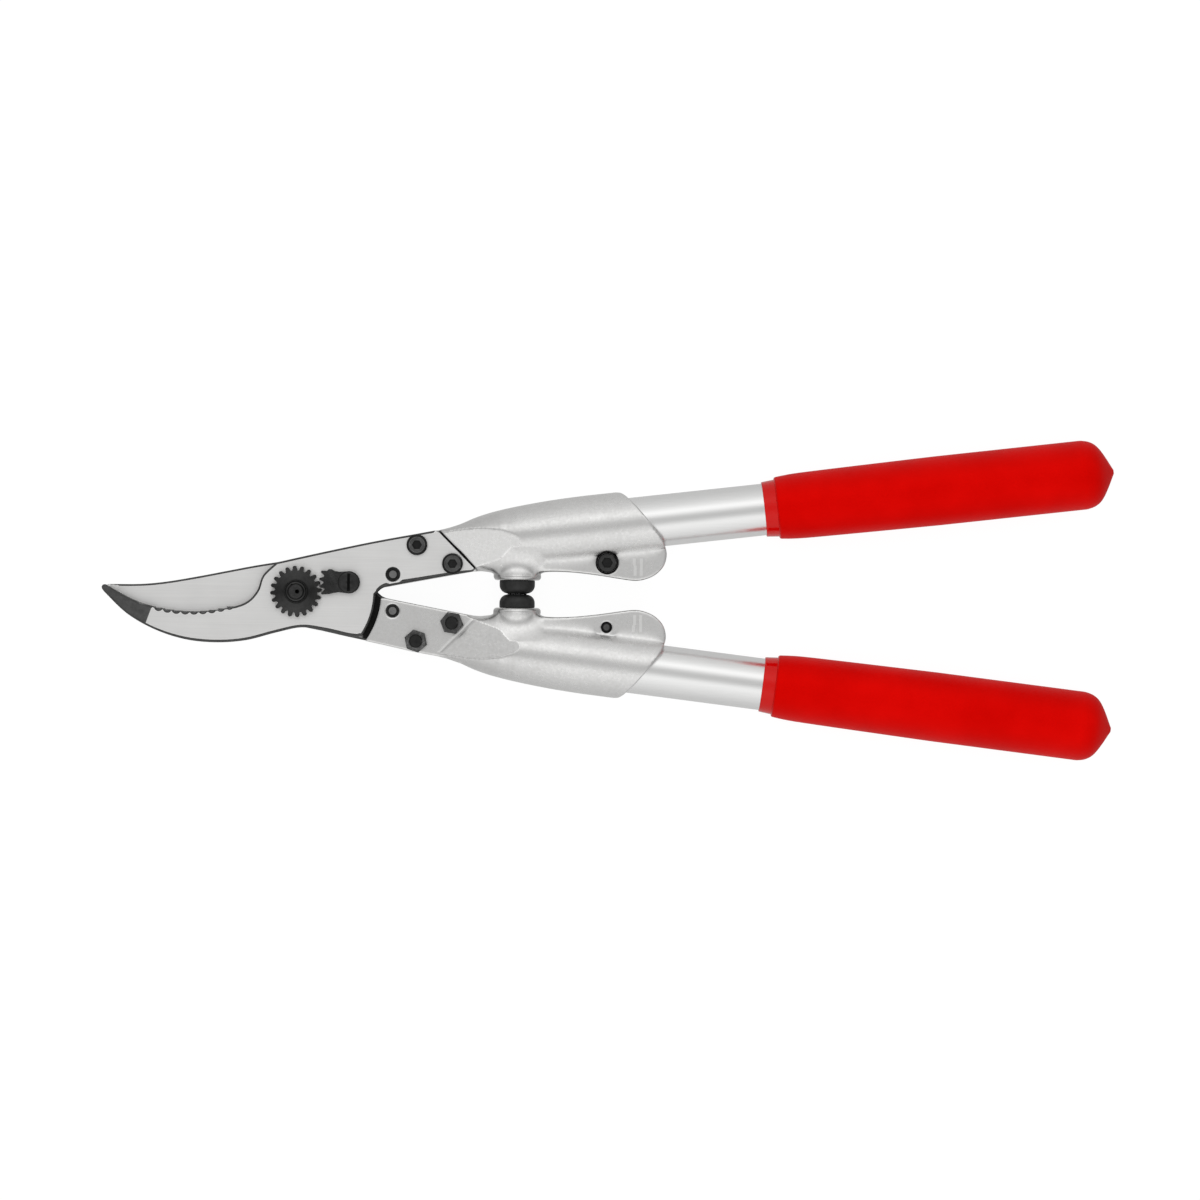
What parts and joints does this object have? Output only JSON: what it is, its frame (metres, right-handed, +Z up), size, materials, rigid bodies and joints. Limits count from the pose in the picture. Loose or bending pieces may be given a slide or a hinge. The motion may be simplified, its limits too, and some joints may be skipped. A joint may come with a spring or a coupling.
{
  "type": "two-hand bypass pruning shears",
  "caption": "Two-hand bypass pruning shears: hooked counter-blade and curved cutting blade on a toothed-nut pivot, cast aluminium heads, straight tubes, rubber buffers and long red grips.",
  "frame": {"origin": "middle of the length, midway between the two handles, at the level the shears rest on when laid flat", "axes": "+X from the hook towards the grips, +Y from the cutting-blade handle towards the counter-blade handle, +Z up, out of the face with the adjusting nut"},
  "size_m": [0.3998, 0.1266, 0.0274],
  "materials": {
    "ground_steel": "ground and lightly polished hardened steel",
    "black_oxide": "blackened steel, satin, slightly oily",
    "dowel_steel": "darkened hardened steel pin",
    "blasted_aluminium": "shot-blasted cast aluminium, soft edges",
    "anodised_tube": "clear anodised drawn aluminium tube, satin",
    "red_grip": "soft red plastic, fine matte grain, glossy collar",
    "black_plastic": "black moulded plastic",
    "black_rubber": "black moulded rubber, satin"
  },
  "bodies": {
    "counter_blade_half": {"counter_blade": "ground_steel", "pivot_bolt": "black_oxide", "adjusting_nut": "black_oxide", "locking_segment": "black_oxide", "segment_screw": "black_oxide", "upper_head_casting": "blasted_aluminium", "upper_tube": "anodised_tube", "upper_grip": "red_grip", "upper_tube_plug": "black_plastic", "upper_clamp_screw": "black_oxide", "upper_blade_screw_front": "black_oxide", "upper_blade_screw_rear": "black_oxide", "upper_blade_nut_front": "black_oxide", "upper_blade_nut_rear": "black_oxide", "upper_dowel_pin": "dowel_steel", "upper_buffer": "black_rubber"},
    "cutting_blade_half": {"cutting_blade": "ground_steel", "lower_head_casting": "blasted_aluminium", "lower_tube": "anodised_tube", "lower_grip": "red_grip", "lower_tube_plug": "black_plastic", "lower_clamp_screw": "black_oxide", "lower_blade_screw_front": "black_oxide", "lower_blade_screw_rear": "black_oxide", "lower_blade_nut_front": "black_oxide", "lower_blade_nut_rear": "black_oxide", "lower_dowel_pin": "dowel_steel", "lower_buffer": "black_rubber"}
  },
  "joints": [
    {"name": "main_pivot", "type": "hinge", "parent": "counter_blade_half", "child": "cutting_blade_half", "pos_m": [-0.12296, 0, 0.0137], "axis": [0, 0, -1], "range_deg": [0, 75]}
  ]
}
